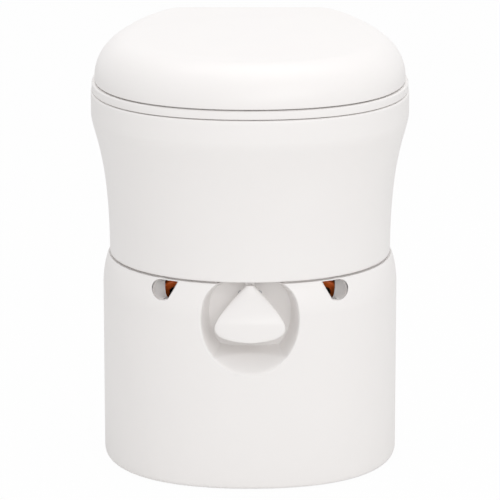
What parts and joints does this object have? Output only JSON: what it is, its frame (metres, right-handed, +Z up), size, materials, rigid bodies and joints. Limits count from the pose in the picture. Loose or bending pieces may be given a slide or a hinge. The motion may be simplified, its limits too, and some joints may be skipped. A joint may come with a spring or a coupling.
{
  "type": "composting toilet",
  "caption": "Portable urine-separating composting toilet: base shell, lift-off seat housing with a hinged seat and lid, latch tongue, solids bucket and urine canister.",
  "frame": {"origin": "on the floor, under the middle of the bounding box, which runs from the front of the rim to the back of the hinge barrels", "axes": "+Z up, -Y to the front, where the latch tongue is, +X to the right seen from the front"},
  "size_m": [0.35, 0.414, 0.474],
  "materials": {
    "white_plastic": "satin injection-moulded white polypropylene",
    "tub_plastic": "matt blow-moulded off-white polyethylene",
    "orange_plastic": "satin moulded orange polypropylene",
    "grey_rubber": "matt moulded grey rubber",
    "steel": "plain stainless steel"
  },
  "bodies": {
    "base": {"base_shell": "white_plastic", "rubber_feet": "grey_rubber", "base_gasket": "grey_rubber", "catch_plate": "white_plastic", "catch_screws": "steel"},
    "bucket": {"solids_bucket": "tub_plastic", "bag_ring": "orange_plastic"},
    "canister": {"urine_canister": "tub_plastic", "canister_handle": "orange_plastic", "handle_screws": "steel", "neck_grommet": "grey_rubber"},
    "cap": {"pour_cap": "orange_plastic", "cap_seal": "grey_rubber"},
    "housing": {"upper_housing": "white_plastic", "separator_bowl": "white_plastic", "separator_seal": "grey_rubber", "drain_spout": "tub_plastic", "hinge_brackets": "white_plastic", "hinge_pins": "steel", "hinge_caps": "steel", "hinge_screws": "steel", "latch_bracket": "steel", "latch_pin": "steel", "latch_spring": "steel", "latch_screws": "steel"},
    "latch": {"latch_tongue": "white_plastic"},
    "seat": {"seat_ring": "white_plastic", "seat_bumpers": "grey_rubber"},
    "lid": {"lid_shell": "white_plastic", "lid_panel": "white_plastic", "lid_screws": "steel", "lid_seal": "grey_rubber", "lid_bumpers": "grey_rubber"}
  },
  "joints": [
    {"name": "bucket_lift", "type": "slide", "parent": "base", "child": "bucket", "axis": [0, 0, 1], "range_m": [0, 0.3]},
    {"name": "canister_lift", "type": "slide", "parent": "bucket", "child": "canister", "axis": [0, 0, 1], "range_m": [0, 0.26]},
    {"name": "cap_turn", "type": "hinge", "parent": "canister", "child": "cap", "pos_m": [0, -0.1, 0.19], "axis": [0, 0, 1], "continuous": true},
    {"name": "housing_lift", "type": "slide", "parent": "canister", "child": "housing", "axis": [0, 0, 1], "range_m": [0, 0.3]},
    {"name": "latch_pull", "type": "hinge", "parent": "housing", "child": "latch", "pos_m": [0, -0.16, 0.241], "axis": [-1, 0, 0], "range_deg": [0, 18], "stiffness_Nm_per_rad": 0.3, "springref_deg": -11.46},
    {"name": "seat_hinge", "type": "hinge", "parent": "housing", "child": "seat", "pos_m": [0.072, 0.2, 0.4185], "axis": [-1, 0, 0], "range_deg": [0, 93]},
    {"name": "lid_hinge", "type": "hinge", "parent": "seat", "child": "lid", "pos_m": [0.072, 0.2, 0.4185], "axis": [-1, 0, 0], "range_deg": [0, 95]}
  ]
}
